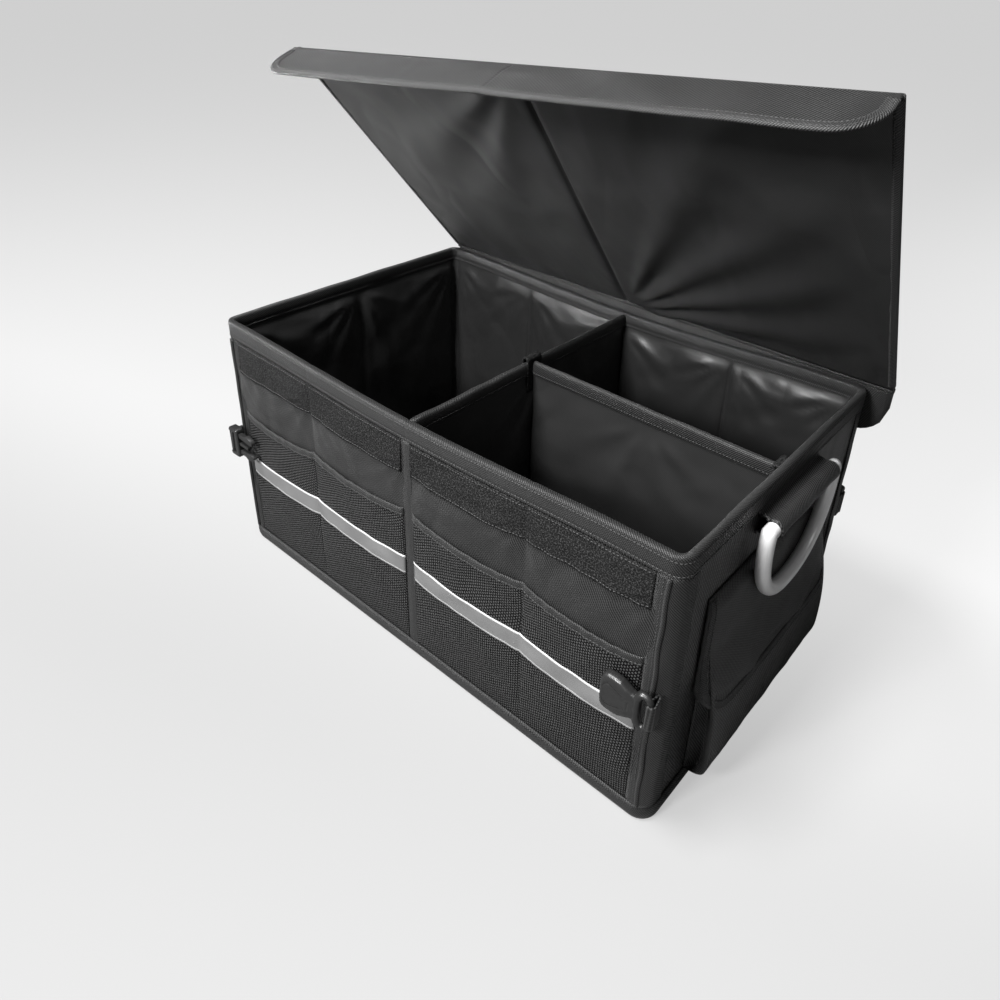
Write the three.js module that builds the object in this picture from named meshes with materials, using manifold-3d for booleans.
// A collapsible car trunk organizer, standing open with its lid raised.
// Its walls are boards sewn between an outer cloth and a lining, with tape bound over every edge.
// Millimetres. X runs along the long side, Y from front to back, Z up.
// The origin is the middle of the underside, so the organizer stands on Z = 0.

import * as THREE from 'three';
import { mergeVertices } from 'three/addons/utils/BufferGeometryUtils.js';
import Module from 'manifold-3d';

const wasm = await Module();
wasm.setup();

// The box
const LENGTH = 600;
const WIDTH = 360;
const HEIGHT = 300;
const CORNER_RADIUS = 12;
const RIM_SAG = 9;

// Layers of a wall, and the clearance between pieces that touch
const SEAT = 0.3;
const CLOTH = 1;
const LINING = 0.8;
const TAPE = 1.2;
const WALL_BOARD = 2.4;
const BASE_BOARD = 3;
const BOARD_CORNER = 8;
const BOARD_DROP = 5;
const FOLD_GAP = 3;

// Bound edges
const RIM_TAPE_OUTSIDE = 20;
const RIM_TAPE_INSIDE = 16;
const CORNER_TAPE_LEG = 10;
const BASE_TAPE_HEIGHT = 14;
const BASE_LEDGE = 2;
const BASE_CORNER_RADIUS = 18;
const FOLD_TAPE_WIDTH = 12;

// The front: loop band, mesh pockets and reflective strip
const LOOP_BAND_HEIGHT = 36;
const LOOP_BAND_DROP = 2;
const MESH = 0.8;
const MESH_POCKET_TOP = 190;
const MESH_POCKET_SAG = 9;
const MESH_POCKET_DEPTH = 6;
const STRIP_HEIGHT = 23;
const STRIP_CENTRE_Z = 118;
const STRIP = 0.8;

// Dividers
const DIVIDER_DROP = 2;
const TAB = 1.6;
const TAB_WIDTH = 22;
const TAB_LEG = 34;
const TAB_RISE = 6;

// End pockets and their flaps
const END_POCKET_WIDTH = 241;
const END_POCKET_BOTTOM = 17;
const END_POCKET_MOUTH_Z = 214;
const END_POCKET_MOUTH_DEPTH = 4.6;
const END_POCKET_DEPTH = 22;
const END_POCKET_BULGE_TOP = 0.78;
const FLAP_WIDTH = 261;
const FLAP_TOP_Z = 230;
const FLAP_LENGTH = 132;
const FLAP_CORNER = 32;
const FLAP_EASE = 1;

// Carrying handles, each a bent tube in a cloth sleeve
const TUBE_DIAMETER = 14;
const HANDLE_WIDTH = 150;
const HANDLE_DEPTH = 88;
const HANDLE_ROUNDNESS = 2.3;
const HANDLE_BEND = 6;
const HANDLE_DROP = 33;
const HANDLE_CLEARANCE = 0.5;
const SLEEVE_END_GAP = 1;
const SLEEVE_LENGTH = HANDLE_WIDTH - 2 * (TUBE_DIAMETER + SLEEVE_END_GAP);
const SLEEVE_WALL = 3;
const SLEEVE_BORE_CLEARANCE = 0.4;
const SLEEVE_FOOT = 12;

// Buckles on webbing loops at the corners
const BUCKLE_Z = 148;
const BUCKLE_INSET = 4;
const BUCKLE_HEIGHT = 40;
const BUCKLE_THICKNESS = 12;
const SOCKET_LENGTH = 49;
const PLUG_LENGTH = 44;
const PLUG_BASE_LENGTH = 17;
const PRONG = 5;
const BAR_DIAMETER = 5;
const BAR_SLOT = 6.5;
const WEBBING = 1.6;
const WEBBING_WIDTH = 26;

// Lid, hinged on the flap of cloth that hangs behind the back wall
const LID_LENGTH = 616;
const LID_OFFSET = 16;
const LID_BOARD = 2.4;
const LID_HEM = 8;
const LID_REST_ANGLE = 48.5;
const LID_TWIST = 8;
const LID_GAP = 1.6;
const REAR_FLAP_DROP = 55;
const REAR_FLAP_CORNER = 35;
const CREASE_RADIUS = 3.5;
const FRONT_FLAP_WIDTH = 54;
const FRONT_FLAP_THICKNESS = 2.4;
const FRONT_FLAP_CORNER = 34;
const FRONT_FLAP_REST_ANGLE = 74;
const FRONT_FLAP_ROOT = 0.5;

// How finely the cloth is divided
const LONG_SIDE_STEP = LENGTH / 16;
const CORNER_STEPS = 4;

// Sizes that follow from the ones above
const WALL = CLOTH + WALL_BOARD + LINING + 2 * SEAT;
const WALL_BOTTOM = CLOTH + SEAT;
const LID_THICKNESS = CLOTH + LID_BOARD + LINING + 2 * SEAT;
const HALF_LENGTH = LENGTH / 2;
const HALF_WIDTH = WIDTH / 2;
const STRAIGHT_X = HALF_LENGTH - CORNER_RADIUS;
const STRAIGHT_Y = HALF_WIDTH - CORNER_RADIUS;
const BASE_TAPE_TOP = CLOTH + SEAT + BASE_TAPE_HEIGHT;
const FLOOR_Z = CLOTH + BASE_BOARD + LINING + 2 * SEAT;
const DIVIDER = LINING * 2 + WALL_BOARD + 2 * SEAT;
const DIVIDER_TOP = HEIGHT - RIM_SAG - DIVIDER_DROP;
const RIM_TAPE_INNER = WALL + SEAT + TAPE;

const radians = THREE.MathUtils.degToRad;

// The rim hangs lower in the middle of each long side, where the wall folds.
function rimHeight(x) {
  const along = Math.min(Math.abs(x), HALF_LENGTH);
  return HEIGHT - RIM_SAG * Math.cos((Math.PI * along) / LENGTH) ** 2;
}

const underRimTape = (x) => rimHeight(x) - TAPE - SEAT;
const belowRimTape = (x) => rimHeight(x) - RIM_TAPE_OUTSIDE - SEAT;

const finish = (color, roughness, metalness = 0) =>
  new THREE.MeshStandardMaterial({ color, roughness, metalness });
const materials = {
  outerCloth: finish(0x1c1c1e, 0.75),
  lining: finish(0x121214, 0.45),
  tape: finish(0x26262a, 0.85),
  mesh: finish(0x202022, 0.8),
  loop: finish(0x2c2c2f, 0.95),
  board: finish(0x5a5a58, 0.8),
  reflective: finish(0xb4b8ba, 0.35),
  webbing: finish(0x18181a, 0.7),
  plastic: finish(0x161618, 0.35),
  aluminium: finish(0xd4d6d8, 0.3, 1),
};

const organizer = new THREE.Group();

function addPiece(parent, name, geometry, material) {
  const mesh = new THREE.Mesh(geometry, material);
  mesh.name = name;
  parent.add(mesh);
  return mesh;
}

// Values from start to end that pass through every multiple of step on the way.
function stations(start, end, step) {
  const values = [start];
  for (let k = Math.ceil(start / step); k * step < end; k += 1) {
    if (k * step - start > step / 8 && end - k * step > step / 8) values.push(k * step);
  }
  values.push(end);
  return values;
}

const alongLength = (start, end) => stations(start, end, LONG_SIDE_STEP);

// Turns an indexed triangle list so that its faces point out of the solid.
function closedGeometry(positions, index) {
  const corner = (i) => new THREE.Vector3().fromArray(positions, 3 * i);
  let volume = 0;
  for (let i = 0; i < index.length; i += 3) {
    volume += corner(index[i]).dot(corner(index[i + 1]).cross(corner(index[i + 2])));
  }
  const turned = volume < 0 ? [...index].reverse() : index;
  const geometry = new THREE.BufferGeometry();
  geometry.setAttribute('position', new THREE.Float32BufferAttribute(positions, 3));
  geometry.setIndex(turned);
  geometry.computeVertexNormals();
  return geometry;
}

// A layer of cloth: two surfaces on one grid of (u, v), closed round their edges.
function clothLayer(us, vs, outer, inner) {
  const positions = [outer, inner].flatMap((face) => us.flatMap((u) => vs.flatMap((v) => face(u, v))));
  const lastU = us.length - 1;
  const lastV = vs.length - 1;
  const at = (layer, i, j) => (layer * us.length + i) * vs.length + j;
  const index = [];
  const quad = (a, b, c, d) => index.push(a, b, c, a, c, d);
  for (let i = 0; i < lastU; i += 1) {
    for (let j = 0; j < lastV; j += 1) {
      quad(at(0, i, j), at(0, i + 1, j), at(0, i + 1, j + 1), at(0, i, j + 1));
      quad(at(1, i, j), at(1, i, j + 1), at(1, i + 1, j + 1), at(1, i + 1, j));
    }
    quad(at(0, i, 0), at(1, i, 0), at(1, i + 1, 0), at(0, i + 1, 0));
    quad(at(0, i, lastV), at(0, i + 1, lastV), at(1, i + 1, lastV), at(1, i, lastV));
  }
  for (let j = 0; j < lastV; j += 1) {
    quad(at(0, 0, j), at(0, 0, j + 1), at(1, 0, j + 1), at(1, 0, j));
    quad(at(0, lastU, j), at(1, lastU, j), at(1, lastU, j + 1), at(0, lastU, j + 1));
  }
  return closedGeometry(positions, index);
}

// Joins one outline after another, all with the same number of points, into a bar or a ring.
function joinOutlines(outlines, closed) {
  const size = outlines[0].length;
  const positions = outlines.flat(2);
  const index = [];
  const links = closed ? outlines.length : outlines.length - 1;
  for (let i = 0; i < links; i += 1) {
    const here = i * size;
    const next = ((i + 1) % outlines.length) * size;
    for (let j = 0; j < size; j += 1) {
      const k = (j + 1) % size;
      index.push(here + j, next + j, next + k, here + j, next + k, here + k);
    }
  }
  if (!closed) {
    const last = (outlines.length - 1) * size;
    for (let j = 1; j < size - 1; j += 1) index.push(0, j, j + 1, last, last + j + 1, last + j);
  }
  return closedGeometry(positions, index);
}

// Stations round a rounded rectangle seen from above, each with its outward direction.
function planRing(halfLength, halfWidth, radius, step = LONG_SIDE_STEP) {
  const ring = [];
  const side = (points, nx, ny) => points.forEach(([x, y]) => ring.push({ x, y, nx, ny }));
  const corner = (cx, cy, startDegrees) => {
    for (let k = 1; k < CORNER_STEPS; k += 1) {
      const turn = radians(startDegrees + (90 * k) / CORNER_STEPS);
      const nx = Math.cos(turn);
      const ny = Math.sin(turn);
      ring.push({ x: cx + radius * nx, y: cy + radius * ny, nx, ny });
    }
  };
  const cx = halfLength - radius;
  const cy = halfWidth - radius;
  const xs = stations(-cx, cx, step);
  side(xs.map((x) => [x, -halfWidth]), 0, -1);
  corner(cx, -cy, -90);
  side([[halfLength, -cy], [halfLength, cy]], 1, 0);
  corner(cx, cy, 0);
  side([...xs].reverse().map((x) => [x, halfWidth]), 0, 1);
  corner(-cx, cy, 90);
  side([[-halfLength, cy], [-halfLength, -cy]], -1, 0);
  corner(-cx, -cy, 180);
  return ring;
}

// Carries a section of [distance outward, height] points past the given stations.
const carrySection = (ring, section, closed = true) => joinOutlines(
  ring.map((s) => section(s).map(([out, z]) => [s.x + s.nx * out, s.y + s.ny * out, z])), closed);

const wallRing = () => planRing(HALF_LENGTH, HALF_WIDTH, CORNER_RADIUS);

// A flat layer on the front wall, between two distances outward from its face.
const frontLayer = (x0, x1, out0, out1, bottom, top) => {
  const face = (out) => (x, v) => [x, -HALF_WIDTH - out, THREE.MathUtils.lerp(bottom(x), top(x), v)];
  return clothLayer(alongLength(x0, x1), [0, 1], face(out1), face(out0));
};

function roundedRectangle(x0, y0, x1, y1, radius) {
  const shape = new THREE.Shape();
  shape.moveTo(x0 + radius, y0);
  shape.lineTo(x1 - radius, y0);
  shape.absarc(x1 - radius, y0 + radius, radius, -Math.PI / 2, 0, false);
  shape.lineTo(x1, y1 - radius);
  shape.absarc(x1 - radius, y1 - radius, radius, 0, Math.PI / 2, false);
  shape.lineTo(x0 + radius, y1);
  shape.absarc(x0 + radius, y1 - radius, radius, Math.PI / 2, Math.PI, false);
  shape.lineTo(x0, y0 + radius);
  shape.absarc(x0 + radius, y0 + radius, radius, Math.PI, 1.5 * Math.PI, false);
  return shape;
}

const extrude = (shape, depth, curveSegments = CORNER_STEPS) =>
  new THREE.ExtrudeGeometry(shape, { depth, curveSegments, bevelEnabled: false });

// Stands a shape drawn in (x, z) upright, its thickness running from y0 to y1.
const upright = (shape, y0, y1, curveSegments) =>
  extrude(shape, y1 - y0, curveSegments).rotateX(Math.PI / 2).translate(0, y1, 0);

// Joining and cutting closed solids
function toSolid(geometry) {
  const bare = geometry.clone();
  bare.deleteAttribute('normal');
  bare.deleteAttribute('uv');
  const merged = mergeVertices(bare);
  return new wasm.Manifold(new wasm.Mesh({
    numProp: 3,
    vertProperties: Float32Array.from(merged.attributes.position.array),
    triVerts: Uint32Array.from(merged.index.array),
  }));
}

function fromSolid(solid) {
  const { vertProperties, triVerts } = solid.getMesh();
  return closedGeometry(Array.from(vertProperties), Array.from(triVerts));
}

const block = (x0, y0, z0, x1, y1, z1) =>
  toSolid(new THREE.BoxGeometry(x1 - x0, y1 - y0, z1 - z0)
    .translate((x0 + x1) / 2, (y0 + y1) / 2, (z0 + z1) / 2));

// The base: a cloth underside, two loose boards and the floor lining over them
function addBase() {
  const halfLength = HALF_LENGTH + BASE_LEDGE;
  const halfWidth = HALF_WIDTH + BASE_LEDGE;
  const underside = roundedRectangle(-halfLength, -halfWidth, halfLength, halfWidth, BASE_CORNER_RADIUS);
  addPiece(organizer, 'base_cloth', extrude(underside, CLOTH), materials.outerCloth);

  const edge = planRing(halfLength, halfWidth, BASE_CORNER_RADIUS, halfLength);
  const boundEdge = carrySection(edge, () => [
    [-TAPE, CLOTH + SEAT], [0, CLOTH + SEAT], [0, BASE_TAPE_TOP], [-TAPE, BASE_TAPE_TOP],
  ]);
  addPiece(organizer, 'base_binding', boundEdge, materials.tape);

  const inX = HALF_LENGTH - WALL - SEAT;
  const inY = HALF_WIDTH - WALL - SEAT;
  [['left', -inX, -FOLD_GAP / 2], ['right', FOLD_GAP / 2, inX]].forEach(([side, x0, x1]) => {
    const board = extrude(roundedRectangle(x0, -inY, x1, inY, BOARD_CORNER), BASE_BOARD);
    addPiece(organizer, `base_board_${side}`, board.translate(0, 0, CLOTH + SEAT), materials.board);
  });
  const floor = extrude(roundedRectangle(-inX, -inY, inX, inY, BOARD_CORNER), LINING);
  addPiece(organizer, 'base_lining', floor.translate(0, 0, FLOOR_Z - LINING), materials.lining);
}

// The walls: outer cloth, boards between the fold lines, and one lining all round
function addLongWall(side, turn) {
  const wall = new THREE.Group();
  wall.rotation.z = turn;
  organizer.add(wall);
  const cloth = frontLayer(-STRAIGHT_X, STRAIGHT_X, -CLOTH, 0, () => WALL_BOTTOM, underRimTape);
  addPiece(wall, `${side}_cloth`, cloth, materials.outerCloth);

  const folds = [-STRAIGHT_X, -LENGTH / 4, 0, LENGTH / 4, STRAIGHT_X];
  const face = -HALF_WIDTH + CLOTH + SEAT;
  const boardTop = HEIGHT - RIM_SAG - TAPE - BOARD_DROP;
  for (let k = 0; k < folds.length - 1; k += 1) {
    const outline = roundedRectangle(
      folds[k] + FOLD_GAP / 2, WALL_BOTTOM, folds[k + 1] - FOLD_GAP / 2, boardTop, BOARD_CORNER);
    addPiece(wall, `${side}_board_${k + 1}`, upright(outline, face, face + WALL_BOARD), materials.board);
  }
}

function addEndWall(side, turn) {
  const wall = new THREE.Group();
  wall.rotation.z = turn;
  organizer.add(wall);
  const clothFace = (out) => (y, v) => [
    HALF_LENGTH + out, y, THREE.MathUtils.lerp(WALL_BOTTOM, HEIGHT - TAPE - SEAT, v),
  ];
  const cloth = clothLayer([-STRAIGHT_Y, STRAIGHT_Y], [0, 1], clothFace(0), clothFace(-CLOTH));
  addPiece(wall, `${side}_end_cloth`, cloth, materials.outerCloth);

  const inset = FOLD_GAP / 2;
  const outline = roundedRectangle(
    -STRAIGHT_Y + inset, WALL_BOTTOM, STRAIGHT_Y - inset, HEIGHT - TAPE - BOARD_DROP, BOARD_CORNER);
  const board = upright(outline, 0, WALL_BOARD).rotateZ(Math.PI / 2);
  board.translate(HALF_LENGTH - CLOTH - SEAT, 0, 0);
  addPiece(wall, `${side}_end_board`, board, materials.board);

  addHandle(wall, side);
  addEndPocket(wall, side);
}

function addWallLining() {
  const lining = carrySection(wallRing(), ({ x }) => [
    [-WALL, WALL_BOTTOM], [LINING - WALL, WALL_BOTTOM],
    [LINING - WALL, underRimTape(x)], [-WALL, underRimTape(x)],
  ]);
  addPiece(organizer, 'wall_lining', lining, materials.lining);
}

// Tape folded over the top edge, and tape down each corner
function addRimBinding() {
  const outside = SEAT + TAPE;
  const inside = -RIM_TAPE_INNER;
  const soft = TAPE / 2;
  const binding = carrySection(wallRing(), ({ x }) => {
    const rim = rimHeight(x);
    return [
      [SEAT, rim - RIM_TAPE_OUTSIDE], [outside, rim - RIM_TAPE_OUTSIDE],
      [outside, rim - soft], [outside - soft, rim],
      [inside + soft, rim], [inside, rim - soft],
      [inside, rim - RIM_TAPE_INSIDE], [inside + TAPE, rim - RIM_TAPE_INSIDE],
      [inside + TAPE, rim - TAPE], [SEAT, rim - TAPE],
    ];
  });
  addPiece(organizer, 'rim_binding', binding, materials.tape);
}

function addCornerBindings() {
  const bottom = BASE_TAPE_TOP + SEAT;
  const places = [
    ['front_left', 180, -1, -1], ['front_right', -90, 1, -1],
    ['back_right', 0, 1, 1], ['back_left', 90, -1, 1],
  ];
  places.forEach(([name, startDegrees, sx, sy]) => {
    const arc = [];
    for (let k = 0; k <= CORNER_STEPS; k += 1) {
      const turn = radians(startDegrees + (90 * k) / CORNER_STEPS);
      const [nx, ny] = [Math.cos(turn), Math.sin(turn)];
      arc.push({ x: sx * STRAIGHT_X + CORNER_RADIUS * nx, y: sy * STRAIGHT_Y + CORNER_RADIUS * ny, nx, ny });
    }
    const leg = (s, direction) => ({
      ...s, x: s.x - direction * s.ny * CORNER_TAPE_LEG, y: s.y + direction * s.nx * CORNER_TAPE_LEG,
    });
    const path = [leg(arc[0], -1), ...arc, leg(arc[CORNER_STEPS], 1)];
    const tape = carrySection(path, ({ x }) => [
      [SEAT, bottom], [SEAT + CLOTH, bottom], [SEAT + CLOTH, belowRimTape(x)], [SEAT, belowRimTape(x)],
    ], false);
    addPiece(organizer, `corner_binding_${name}`, tape, materials.tape);
  });
}

// The front face: fold tape, loop band, mesh pockets and reflective strips
const MESH_EDGE_X = STRAIGHT_X - CORNER_TAPE_LEG - SEAT;
const FOLD_EDGE_X = FOLD_TAPE_WIDTH / 2 + SEAT;
const MESH_BOTTOM = BASE_TAPE_TOP + SEAT;

// How far the mesh stands off between its seams, from 0 at a seam to 1 halfway.
function meshBillow(x) {
  const seams = [FOLD_EDGE_X, LENGTH / 4, MESH_EDGE_X];
  const reach = Math.abs(x);
  const k = reach < seams[1] ? 0 : 1;
  return Math.max(0, Math.sin((Math.PI * (reach - seams[k])) / (seams[k + 1] - seams[k])));
}

const meshTop = (x) => MESH_POCKET_TOP - MESH_POCKET_SAG * meshBillow(x);

function addFront() {
  const tape = frontLayer(
    -FOLD_TAPE_WIDTH / 2, FOLD_TAPE_WIDTH / 2, SEAT, SEAT + LINING, () => MESH_BOTTOM, belowRimTape);
  addPiece(organizer, 'front_fold_tape', tape, materials.tape);

  const bandTop = (x) => rimHeight(x) - RIM_TAPE_OUTSIDE - LOOP_BAND_DROP;
  const bandBottom = (x) => bandTop(x) - LOOP_BAND_HEIGHT;
  const rise = [[0, 0], [0.12, 0.5], [0.35, 1], [0.7, 1], [1, 1]];
  [['left', -MESH_EDGE_X, -FOLD_EDGE_X], ['right', FOLD_EDGE_X, MESH_EDGE_X]].forEach(([side, x0, x1]) => {
    const band = frontLayer(x0, x1, SEAT, SEAT + CLOTH, bandBottom, bandTop);
    addPiece(organizer, `loop_band_${side}`, band, materials.loop);

    const meshFace = (out) => (x, [height, billow]) => [
      x,
      -HALF_WIDTH - out - SEAT - MESH_POCKET_DEPTH * billow * meshBillow(x),
      THREE.MathUtils.lerp(MESH_BOTTOM, meshTop(x), height),
    ];
    const pocket = clothLayer(alongLength(x0, x1), rise, meshFace(MESH), meshFace(0));
    addPiece(organizer, `mesh_pocket_${side}`, pocket, materials.mesh);

    const stripFace = (out) => (x, v) => [
      x,
      -HALF_WIDTH - out - 2 * SEAT - MESH - MESH_POCKET_DEPTH * meshBillow(x),
      STRIP_CENTRE_Z + STRIP_HEIGHT * (v - 0.5),
    ];
    const strip = clothLayer(alongLength(x0, x1), [0, 1], stripFace(STRIP), stripFace(0));
    addPiece(organizer, `reflective_strip_${side}`, strip, materials.reflective);
  });
}

// Dividers: a board in a folded cover, open along the bottom edge
function dividerSection(halfThickness, bottom, top) {
  const shape = new THREE.Shape();
  const inner = halfThickness - LINING;
  shape.moveTo(-halfThickness, bottom);
  shape.lineTo(-inner, bottom);
  shape.lineTo(-inner, top - LINING);
  shape.lineTo(inner, top - LINING);
  shape.lineTo(inner, bottom);
  shape.lineTo(halfThickness, bottom);
  shape.lineTo(halfThickness, top - halfThickness);
  shape.absarc(0, top - halfThickness, halfThickness, 0, Math.PI, false);
  return shape;
}

// Extrudes a section drawn in (thickness, z) along the length of a divider.
const alongDivider = (shape, start, end) =>
  extrude(shape, end - start, 2 * CORNER_STEPS).rotateX(Math.PI / 2).translate(0, end, 0);

function addDividers() {
  const bottom = FLOOR_Z + SEAT;
  const boardTop = DIVIDER_TOP - LINING - SEAT;
  const half = DIVIDER / 2;
  const endY = HALF_WIDTH - RIM_TAPE_INNER - SEAT;
  const cover = alongDivider(dividerSection(half, bottom, DIVIDER_TOP), -endY, endY);
  addPiece(organizer, 'cross_divider_cover', cover, materials.lining);
  const boardHalf = WALL_BOARD / 2;
  const crossBoard = upright(
    roundedRectangle(-endY, bottom, endY, boardTop, BOARD_CORNER), -boardHalf, boardHalf);
  addPiece(organizer, 'cross_divider_board', crossBoard.rotateZ(Math.PI / 2), materials.board);

  const startX = half + TAB + 2 * SEAT;
  const endX = HALF_LENGTH - RIM_TAPE_INNER - TAB - 2 * SEAT;
  const longCover = alongDivider(dividerSection(half, bottom, DIVIDER_TOP), -endX, -startX);
  addPiece(organizer, 'long_divider_cover', longCover.rotateZ(Math.PI / 2), materials.lining);
  const longBoard = upright(
    roundedRectangle(startX, bottom, endX, boardTop, BOARD_CORNER), -boardHalf, boardHalf);
  addPiece(organizer, 'long_divider_board', longBoard, materials.board);

  addPiece(organizer, 'divider_tab_centre', centreTab(half + SEAT), materials.loop);
  addPiece(organizer, 'divider_tab_end', endTab(HALF_LENGTH - RIM_TAPE_INNER - SEAT), materials.loop);
}

// A strap folded over the cross divider like a clip, standing a little above it.
function centreTab(innerHalf) {
  const outerHalf = innerHalf + TAB;
  const bottom = DIVIDER_TOP - TAB_LEG;
  const springing = DIVIDER_TOP + TAB_RISE - innerHalf;
  const shape = new THREE.Shape();
  shape.moveTo(-outerHalf, bottom);
  shape.lineTo(-innerHalf, bottom);
  shape.lineTo(-innerHalf, springing);
  shape.absarc(0, springing, innerHalf, Math.PI, 0, true);
  shape.lineTo(innerHalf, bottom);
  shape.lineTo(outerHalf, bottom);
  shape.lineTo(outerHalf, springing);
  shape.absarc(0, springing, outerHalf, 0, Math.PI, false);
  return alongDivider(shape, -TAB_WIDTH / 2, TAB_WIDTH / 2);
}

// A strap that lies flat on the end wall's lining, its top curled inward.
function endTab(faceX) {
  const bottom = DIVIDER_TOP - TAB_LEG;
  const curl = 2 * TAB;
  const shape = new THREE.Shape();
  shape.moveTo(faceX - TAB, bottom);
  shape.lineTo(faceX, bottom);
  shape.lineTo(faceX, DIVIDER_TOP);
  shape.absarc(faceX - TAB - curl, DIVIDER_TOP, TAB + curl, 0, Math.PI / 2, false);
  shape.absarc(faceX - TAB - curl, DIVIDER_TOP, curl, Math.PI / 2, 0, true);
  return alongDivider(shape, -TAB_WIDTH / 2, TAB_WIDTH / 2);
}

// End pockets, full depth at the foot and flat at the top where the handle hangs
const FLAP_OUTER = SEAT + END_POCKET_MOUTH_DEPTH + CLOTH + FLAP_EASE + CLOTH;
const HANDLE_OUT = FLAP_OUTER + HANDLE_CLEARANCE + TUBE_DIAMETER / 2;

// Fullness across a panel: upright at its sides, nearly level between them.
const fullness = (s) => Math.sqrt(Math.max(0, 1 - Math.abs(s) ** 8));

const pocketBulge = (w) => Math.cos((Math.PI / 2) * Math.min(1, w / END_POCKET_BULGE_TOP) ** 1.8) ** 2;

function pocketDepth(w) {
  const bottomRound = Math.sqrt(1 - (1 - w) ** 40);
  const extra = (END_POCKET_DEPTH - END_POCKET_MOUTH_DEPTH) * pocketBulge(w);
  return bottomRound * (END_POCKET_MOUTH_DEPTH + extra);
}

function addEndPocket(wall, side) {
  const across = [-1, -0.98, -0.93, -0.82, -0.6, -0.3, 0, 0.3, 0.6, 0.82, 0.93, 0.98, 1];
  const up = [0, 0.008, 0.03, 0.08, 0.2, 0.3, 0.42, 0.56, 0.68, END_POCKET_BULGE_TOP, 1];
  const height = END_POCKET_MOUTH_Z - END_POCKET_BOTTOM;
  const half = END_POCKET_WIDTH / 2;
  const outer = (s, w) => [
    HALF_LENGTH + SEAT + CLOTH + fullness(s) * pocketDepth(w), s * half, END_POCKET_BOTTOM + w * height,
  ];
  const inner = (s, w) => [
    HALF_LENGTH + SEAT + fullness(s) * pocketDepth(w),
    s * (half - CLOTH),
    END_POCKET_BOTTOM + CLOTH * (1 - w) + w * height,
  ];
  addPiece(wall, `${side}_end_pocket`, clothLayer(across, up, outer, inner), materials.outerCloth);
  addPocketFlap(wall, side, across);
}

function addPocketFlap(wall, side, across) {
  const bottom = FLAP_TOP_Z - FLAP_LENGTH;
  const height = END_POCKET_MOUTH_Z - END_POCKET_BOTTOM;
  const downwards = [0, 0.3, 0.6, 1].map((v) => THREE.MathUtils.lerp(FLAP_TOP_Z, END_POCKET_MOUTH_Z, v))
    .concat([0.37, 0.5, 0.62, 0.72, 0.82, 0.9, 0.96, 1].map((v) => FLAP_TOP_Z - v * FLAP_LENGTH));
  const halfWidth = (z) => {
    const up = Math.max(0, FLAP_CORNER - (z - bottom));
    return FLAP_WIDTH / 2 - FLAP_CORNER + Math.sqrt(FLAP_CORNER ** 2 - up ** 2);
  };
  const standOff = (y, z) => {
    const s = (2 * y) / FLAP_WIDTH;
    if (z > END_POCKET_MOUTH_Z) {
      const down = (FLAP_TOP_Z - z) / (FLAP_TOP_Z - END_POCKET_MOUTH_Z);
      return fullness(s) * Math.sin((Math.PI / 2) * down) * (END_POCKET_MOUTH_DEPTH + CLOTH + FLAP_EASE);
    }
    const w = (z - END_POCKET_BOTTOM) / height;
    return fullness(s) * (pocketDepth(w) + CLOTH + FLAP_EASE * (1 + 2 * pocketBulge(w)));
  };
  const lip = CLOTH + SEAT;
  const face = (out) => (s, z) => {
    const y = s * halfWidth(z);
    const edge = lip * (1 - Math.min(1, (FLAP_TOP_Z - z) / (FLAP_TOP_Z - END_POCKET_MOUTH_Z)) ** 0.5);
    return [HALF_LENGTH + SEAT + Math.max(standOff(y, z), lip - edge) + out, y, z];
  };
  addPiece(wall, `${side}_end_pocket_flap`, clothLayer(across, downwards, face(CLOTH), face(0)),
    materials.outerCloth);
}

// The carrying handle: one tube bent to a D, its straight side held in the sleeve
function handlePath() {
  const half = (HANDLE_WIDTH - TUBE_DIAMETER) / 2;
  const right = [];
  const steps = 14;
  for (let k = 0; k <= steps; k += 1) {
    const turn = (Math.PI / 2) * (k / steps);
    const z = -HANDLE_BEND - (HANDLE_DEPTH - HANDLE_BEND) * Math.sin(turn) ** (2 / HANDLE_ROUNDNESS);
    right.push([half * Math.cos(turn) ** (2 / HANDLE_ROUNDNESS), z]);
  }
  right[steps][0] = 0;
  const bend = half - HANDLE_BEND * 0.75;
  const rightSide = [[bend, 0], ...right];
  const leftSide = rightSide.slice(0, -1).reverse().map(([y, z]) => [-y, z]);
  return [...rightSide, ...leftSide];
}

// Round sections along a closed flat path, mitred where the path turns.
function bentTube(path, radius, sides) {
  const direction = ([ay, az], [by, bz]) => {
    const length = Math.hypot(by - ay, bz - az);
    return [(by - ay) / length, (bz - az) / length];
  };
  const outlines = path.map((point, i) => {
    const [py, pz] = direction(path[(i + path.length - 1) % path.length], point);
    const [qy, qz] = direction(point, path[(i + 1) % path.length]);
    const normal = new THREE.Vector2(pz + qz, -py - qy).normalize();
    const stretch = 1 / (normal.x * pz - normal.y * py);
    return Array.from({ length: sides }, (_, j) => {
      const turn = (2 * Math.PI * (j + 0.5)) / sides;
      const inPlane = radius * Math.cos(turn) * stretch;
      return [radius * Math.sin(turn), point[0] + normal.x * inPlane, point[1] + normal.y * inPlane];
    });
  });
  return joinOutlines(outlines, true);
}

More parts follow.
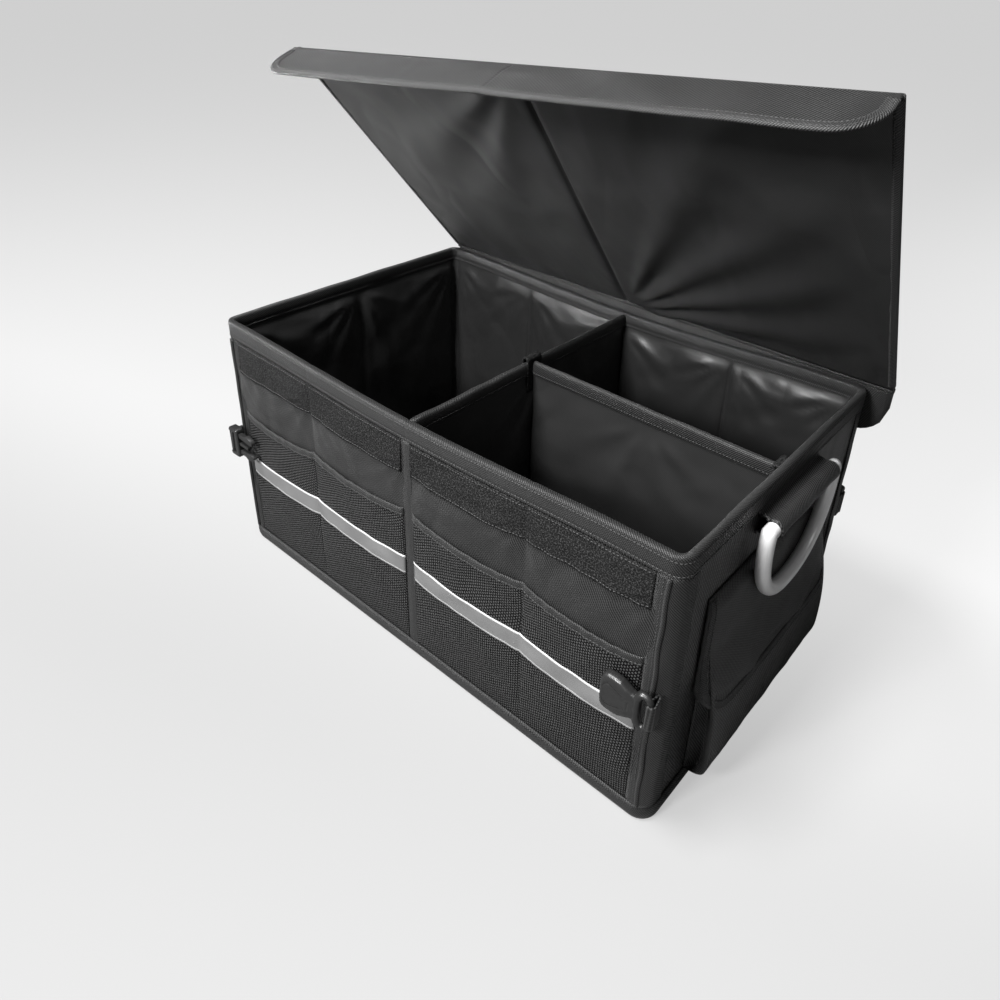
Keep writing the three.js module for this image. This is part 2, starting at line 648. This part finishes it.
function addHandle(wall, side) {
  const boreRadius = TUBE_DIAMETER / 2 + SLEEVE_BORE_CLEARANCE;
  const outerRadius = boreRadius + SLEEVE_WALL;
  const axisZ = HEIGHT - HANDLE_DROP;
  const tube = bentTube(handlePath(), TUBE_DIAMETER / 2, 12);
  addPiece(wall, `${side}_handle`, tube.translate(HALF_LENGTH + HANDLE_OUT, 0, axisZ), materials.aluminium);

  const neck = outerRadius / 2;
  const neckAngle = Math.PI - Math.asin(neck / outerRadius);
  const footFace = -HANDLE_OUT + SEAT;
  const section = new THREE.Shape();
  section.moveTo(footFace, -SLEEVE_FOOT);
  section.lineTo(footFace + TAPE, -SLEEVE_FOOT);
  section.absarc(0, 0, outerRadius, -neckAngle, neckAngle, false);
  section.lineTo(footFace + TAPE, SLEEVE_FOOT);
  section.lineTo(footFace, SLEEVE_FOOT);
  section.holes.push(new THREE.Path().absarc(0, 0, boreRadius, 0, 2 * Math.PI, true));
  const sleeve = extrude(section, SLEEVE_LENGTH, 4 * CORNER_STEPS)
    .rotateX(Math.PI / 2)
    .translate(HALF_LENGTH + HANDLE_OUT, SLEEVE_LENGTH / 2, axisZ);
  addPiece(wall, `${side}_handle_sleeve`, sleeve, materials.outerCloth);
}

// Buckles: drawn pointing along +X from the webbing bar, which stands on the Z axis
const BUCKLE_OUT = SEAT * 3 + MESH + MESH_POCKET_DEPTH * 0.7 + STRIP + BUCKLE_THICKNESS / 2 + SEAT;
const BUCKLE_X = HALF_LENGTH - BUCKLE_INSET;
const BAR_SLOT_HALF = WEBBING_WIDTH / 2 + 1.5;
const RAIL = 2.2;

const webbingBar = () =>
  toSolid(new THREE.CylinderGeometry(BAR_DIAMETER / 2, BAR_DIAMETER / 2, 2 * (BAR_SLOT_HALF + 1), 12)
    .rotateX(Math.PI / 2));

const slotBehindBar = () => block(
  -BUCKLE_THICKNESS, -BUCKLE_THICKNESS, -BAR_SLOT_HALF,
  BAR_DIAMETER / 2 + BAR_SLOT, BUCKLE_THICKNESS, BAR_SLOT_HALF);

// A moulding outline in (x, z), waisted between its two ends.
function mouldedOutline(start, end, half, waist) {
  const corner = half / 5;
  const middle = (start + end) / 2;
  const shape = new THREE.Shape();
  shape.moveTo(start, corner - half);
  shape.quadraticCurveTo(start, -half, start + corner, -half);
  shape.quadraticCurveTo(middle, 2 * waist - half, end - corner, -half);
  shape.quadraticCurveTo(end, -half, end, corner - half);
  shape.lineTo(end, half - corner);
  shape.quadraticCurveTo(end, half, end - corner, half);
  shape.quadraticCurveTo(middle, half - 2 * waist, start + corner, half);
  shape.quadraticCurveTo(start, half, start, half - corner);
  return shape;
}

// A moulding with softened edges, its thickness centred on y = 0.
function moulding(shape, thickness, soft) {
  const geometry = new THREE.ExtrudeGeometry(shape, {
    depth: thickness - 2 * soft, curveSegments: CORNER_STEPS,
    bevelThickness: soft, bevelSize: soft, bevelOffset: -soft, bevelSegments: 1,
  });
  return toSolid(geometry.rotateX(Math.PI / 2).translate(0, thickness / 2 - soft, 0));
}

function socketGeometry() {
  const half = BUCKLE_HEIGHT / 2;
  const mouth = BUCKLE_THICKNESS / 2 - RAIL;
  const start = BAR_DIAMETER / 2 + BAR_SLOT;
  const outline = mouldedOutline(-BAR_DIAMETER / 2, SOCKET_LENGTH - BAR_DIAMETER / 2, half, 2);
  const cavity = block(start + RAIL, -mouth, RAIL * 2 - half, SOCKET_LENGTH + RAIL, mouth, half - RAIL * 2);
  const window = block(start + 3 * RAIL, -mouth, -half - RAIL, start + 9 * RAIL, mouth, half + RAIL);
  return fromSolid(moulding(outline, BUCKLE_THICKNESS, RAIL / 2)
    .subtract(slotBehindBar())
    .add(webbingBar())
    .subtract(cavity)
    .subtract(window));
}

function plugGeometry() {
  const half = BUCKLE_HEIGHT / 2 - 1;
  const baseEnd = PLUG_BASE_LENGTH - BAR_DIAMETER / 2;
  const tip = PLUG_LENGTH - BAR_DIAMETER / 2;
  const armHalf = half - RAIL * 2 - 1;
  const base = moulding(
    mouldedOutline(-BAR_DIAMETER / 2, baseEnd, half, 0), BUCKLE_THICKNESS - RAIL, RAIL / 2);
  const prongs = new THREE.Shape();
  prongs.moveTo(baseEnd - RAIL, -armHalf);
  prongs.lineTo(baseEnd + 2 * PRONG, -armHalf);
  prongs.lineTo(baseEnd + 3 * PRONG, -armHalf - PRONG / 2);
  prongs.quadraticCurveTo(tip, -armHalf - PRONG / 4, tip, PRONG - armHalf);
  prongs.lineTo(tip - PRONG, 1.4 * PRONG - armHalf);
  prongs.lineTo(baseEnd, PRONG - armHalf);
  prongs.lineTo(baseEnd, -PRONG / 3);
  prongs.lineTo(tip - 2 * PRONG, -PRONG / 3);
  prongs.lineTo(tip - 2 * PRONG, PRONG / 3);
  prongs.lineTo(baseEnd, PRONG / 3);
  prongs.lineTo(baseEnd, armHalf - PRONG);
  prongs.lineTo(tip - PRONG, armHalf - 1.4 * PRONG);
  prongs.lineTo(tip, armHalf - PRONG);
  prongs.quadraticCurveTo(tip, armHalf + PRONG / 4, baseEnd + 3 * PRONG, armHalf + PRONG / 2);
  prongs.lineTo(baseEnd + 2 * PRONG, armHalf);
  prongs.lineTo(baseEnd - RAIL, armHalf);
  const arms = toSolid(upright(prongs, -PRONG / 2, PRONG / 2));
  return fromSolid(base.subtract(slotBehindBar()).add(webbingBar()).add(arms));
}

// Webbing folded round the bar and sewn flat into the corner behind it.
function webbingGeometry() {
  const inner = BAR_DIAMETER / 2 + SEAT;
  const outer = inner + WEBBING;
  const tail = BUCKLE_OUT - SEAT / 2;
  const spread = radians(25);
  const teardrop = (path, radius, endY, endHalf) => {
    path.moveTo(-endHalf, endY);
    path.lineTo(endHalf, endY);
    path.absarc(0, 0, radius, -spread, Math.PI + spread, false);
    return path;
  };
  const shape = teardrop(new THREE.Shape(), outer, -tail, WEBBING);
  const opening = teardrop(new THREE.Path(), inner, WEBBING - tail / 2 - inner, SEAT);
  shape.holes.push(opening);
  return extrude(shape, WEBBING_WIDTH, 2 * CORNER_STEPS).translate(0, 0, -WEBBING_WIDTH / 2);
}

function addBuckles(side, turn) {
  const face = new THREE.Group();
  face.rotation.z = turn;
  organizer.add(face);
  [['plug', -1, plugGeometry()], ['socket', 1, socketGeometry()]].forEach(([kind, sx, geometry]) => {
    const corner = new THREE.Group();
    corner.position.set(sx * BUCKLE_X, -HALF_WIDTH - BUCKLE_OUT, BUCKLE_Z);
    face.add(corner);
    const loop = webbingGeometry().rotateZ(Math.PI);
    addPiece(corner, `${side}_${kind}_webbing`, loop, materials.webbing);
    const buckle = addPiece(corner, `${side}_buckle_${kind}`, geometry, materials.plastic);
    buckle.rotation.z = sx > 0 ? Math.PI : 0;
  });
}

// The lid: hinged at the crease behind the rim, a little warped as cloth-covered boards are
const HINGE_Y = HALF_WIDTH + SEAT + TAPE + SEAT + TAPE / 2;
const HINGE_Z = HEIGHT + LID_GAP + LID_THICKNESS / 2;
const FRONT_FOLD_OUT = SEAT + TAPE + SEAT + FRONT_FLAP_THICKNESS / 2;
const LID_DEPTH = HINGE_Y + HALF_WIDTH + FRONT_FOLD_OUT;
const LID_LEFT = LID_OFFSET - LID_LENGTH / 2;
const LID_RIGHT = LID_OFFSET + LID_LENGTH / 2;

// A point on the lid by its place along the hinge, its distance from it, and its height off the middle.
function lidPoint(x, distance, height) {
  const share = (x - LID_LEFT) / LID_LENGTH;
  const forward = 1 - share + Math.cos(radians(LID_TWIST)) * share;
  const raised = Math.sin(radians(LID_TWIST)) * share;
  const slope = Math.atan2(raised, forward);
  return [x, -distance * forward + height * Math.sin(slope), distance * raised + height * Math.cos(slope)];
}

function addLid() {
  const rearOutline = roundedRectangle(
    LID_LEFT, HINGE_Z - REAR_FLAP_DROP, LID_RIGHT, HINGE_Z + REAR_FLAP_CORNER, REAR_FLAP_CORNER);
  const rearFlap = upright(rearOutline, HINGE_Y - TAPE / 2, HINGE_Y + TAPE / 2);
  const aboveCrease = block(
    LID_LEFT - 1, HINGE_Y - TAPE, HINGE_Z, LID_RIGHT + 1, HINGE_Y + TAPE, HINGE_Z + REAR_FLAP_CORNER + 1);
  const crease = new THREE.CylinderGeometry(CREASE_RADIUS, CREASE_RADIUS, LID_LENGTH, 12)
    .rotateZ(Math.PI / 2)
    .translate(LID_OFFSET, HINGE_Y, HINGE_Z);
  const rearPiece = toSolid(rearFlap).subtract(aboveCrease).add(toSolid(crease));
  addPiece(organizer, 'lid_rear_flap', fromSolid(rearPiece), materials.outerCloth);

  const lid = new THREE.Group();
  lid.position.set(0, HINGE_Y, HINGE_Z);
  lid.rotation.x = -radians(LID_REST_ANGLE);
  organizer.add(lid);

  const root = CREASE_RADIUS + SEAT;
  const frontEdge = LID_DEPTH - FRONT_FLAP_THICKNESS / 2 - SEAT;
  const layer = (x0, x1, d0, d1, h0, h1) => clothLayer(
    stations(x0, x1, LID_LENGTH / 8), stations(d0, d1, LID_DEPTH / 6),
    (x, d) => lidPoint(x, d, h1), (x, d) => lidPoint(x, d, h0));
  const top = LID_THICKNESS / 2;
  const whole = [LID_LEFT, LID_RIGHT, root, frontEdge];
  addPiece(lid, 'lid_cloth', layer(...whole, top - CLOTH, top), materials.outerCloth);
  addPiece(lid, 'lid_lining', layer(...whole, -top, LINING - top), materials.lining);
  const boardLow = LINING + SEAT - top;
  [['left', LID_LEFT + LID_HEM, -FOLD_GAP / 2], ['right', FOLD_GAP / 2, LID_RIGHT - LID_HEM]]
    .forEach(([side, x0, x1]) => {
      const board = layer(x0, x1, root + LID_HEM, frontEdge - LID_HEM, boardLow, boardLow + LID_BOARD);
      addPiece(lid, `lid_board_${side}`, board, materials.board);
    });
  addFrontFlap(lid);
}

// The flap along the lid's front edge, which closes on the loop band of the front wall
function addFrontFlap(lid) {
  const start = new THREE.Vector3(...lidPoint(LID_LEFT, LID_DEPTH, 0));
  const end = new THREE.Vector3(...lidPoint(LID_RIGHT, LID_DEPTH, 0));
  const along = end.clone().sub(start);
  const length = along.length();
  const group = new THREE.Group();
  group.position.copy(start);
  const middleSlope = new THREE.Vector3(...lidPoint(LID_OFFSET, LID_DEPTH, 0)).setX(0).negate().normalize();
  const xAxis = along.normalize();
  const zAxis = new THREE.Vector3().crossVectors(xAxis, middleSlope).normalize();
  const yAxis = new THREE.Vector3().crossVectors(zAxis, xAxis);
  const frame = new THREE.Matrix4().makeBasis(xAxis, yAxis, zAxis);
  frame.multiply(new THREE.Matrix4().makeRotationX(radians(FRONT_FLAP_REST_ANGLE)));
  group.quaternion.setFromRotationMatrix(frame);
  lid.add(group);

  const reach = roundedRectangle(
    0, -FRONT_FLAP_WIDTH, length, FRONT_FLAP_CORNER, FRONT_FLAP_CORNER);
  const plate = extrude(reach, FRONT_FLAP_THICKNESS, 2 * CORNER_STEPS)
    .translate(0, 0, -FRONT_FLAP_THICKNESS / 2);
  const beyondFold = block(
    -1, -FRONT_FLAP_ROOT, -FRONT_FLAP_THICKNESS, length + 1, FRONT_FLAP_CORNER + 1, FRONT_FLAP_THICKNESS);
  addPiece(group, 'lid_front_flap', fromSolid(toSolid(plate).subtract(beyondFold)), materials.outerCloth);
}

addBase();
addLongWall('front', 0);
addLongWall('back', Math.PI);
addEndWall('right', 0);
addEndWall('left', Math.PI);
addWallLining();
addRimBinding();
addCornerBindings();
addFront();
addDividers();
addBuckles('front', 0);
addBuckles('back', Math.PI);
addLid();

export default organizer;
